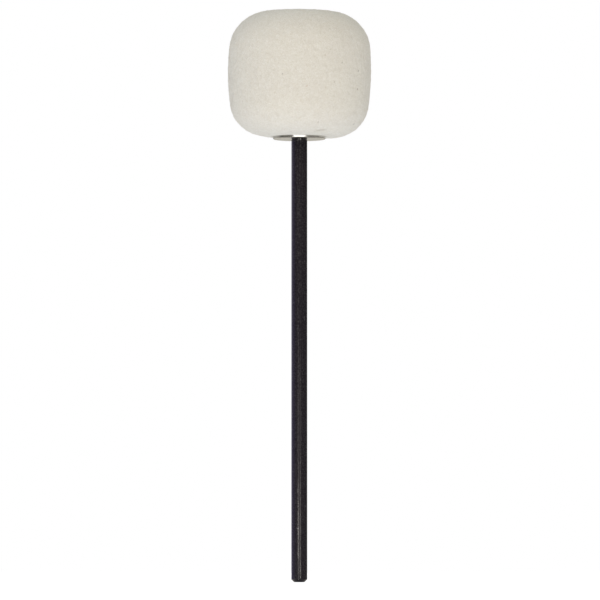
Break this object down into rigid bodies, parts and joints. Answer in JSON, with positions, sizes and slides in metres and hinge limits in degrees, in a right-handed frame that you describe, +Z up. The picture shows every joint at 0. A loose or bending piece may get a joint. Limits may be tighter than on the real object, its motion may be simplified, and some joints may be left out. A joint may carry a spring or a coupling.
{
  "type": "bass drum beater",
  "caption": "Bass drum beater: a barrel-shaped felt head with rounded rims, clamped between washers on a slim straight steel rod that a pedal's hub grips.",
  "frame": {"origin": "on the rod's axis, at the centre of the flat face of the rod's lower tip", "axes": "+Z runs up the rod's axis from the lower tip to the felt head; the part is round about +Z, so +X is any side of it"},
  "size_m": [0.0574, 0.0574, 0.2291],
  "materials": {
    "blackened_steel": "satin",
    "plated_steel": "polished",
    "wool_felt": "matte",
    "nylon": "satin"
  },
  "bodies": {
    "rod": {"shaft": "blackened_steel", "lower_washer": "plated_steel", "upper_washer": "plated_steel", "lock_nut": "plated_steel", "nut_insert": "nylon"},
    "head": {"felt_head": "wool_felt"}
  },
  "joints": [
    {"name": "head_turn", "type": "hinge", "parent": "rod", "child": "head", "pos_m": [0, 0, 0.2041], "axis": [0, 0, 1], "continuous": true}
  ]
}
